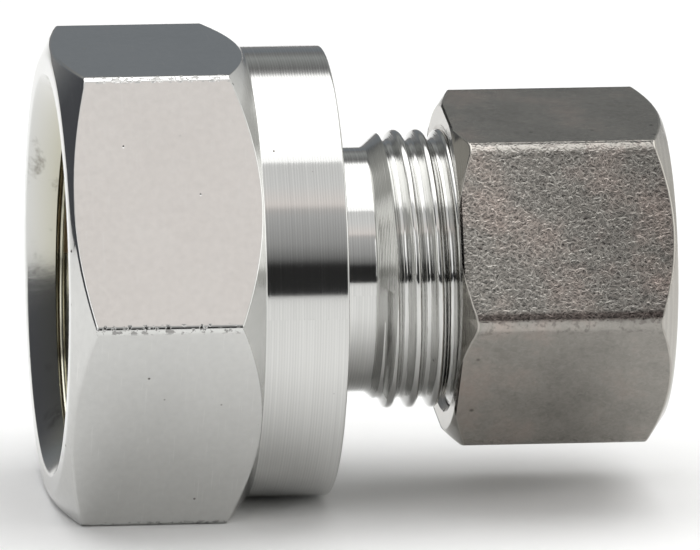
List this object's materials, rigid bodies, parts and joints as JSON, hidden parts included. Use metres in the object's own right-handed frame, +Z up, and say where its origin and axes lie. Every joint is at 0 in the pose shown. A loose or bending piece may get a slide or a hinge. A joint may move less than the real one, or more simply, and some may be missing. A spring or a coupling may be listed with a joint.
{
  "type": "compression fitting",
  "caption": "Straight plated-brass adapter: hexagon with a threaded socket, round collar, threaded spigot, and a nut that clamps a tube with an olive.",
  "frame": {"origin": "the middle of the female end face, on the fitting's axis", "axes": "+X along the axis from the female end to the tube's end, +Z up with one flat of the body's hexagon underneath, +Y to the side"},
  "size_m": [0.0364, 0.031, 0.027],
  "materials": {
    "chrome_plate": "polished",
    "nickel_plate": "satin, forged grain",
    "bare_brass": "as machined"
  },
  "bodies": {
    "body": {"body": "chrome_plate"},
    "olive": {"olive": "bare_brass"},
    "nut": {"compression_nut": "nickel_plate"}
  },
  "joints": [
    {"name": "nut_advance", "type": "slide", "parent": "body", "child": "olive", "axis": [1, 0, 0], "range_m": [-0.00017, 0.00535]},
    {"name": "nut_spin", "type": "hinge", "parent": "olive", "child": "nut", "pos_m": [0.03, 0, 0], "axis": [1, 0, 0], "range_deg": [-45, 1440]}
  ],
  "couplings": [
    {"joint": "nut_advance", "follows": "nut_spin", "m_per_rad": 0.00021279}
  ]
}
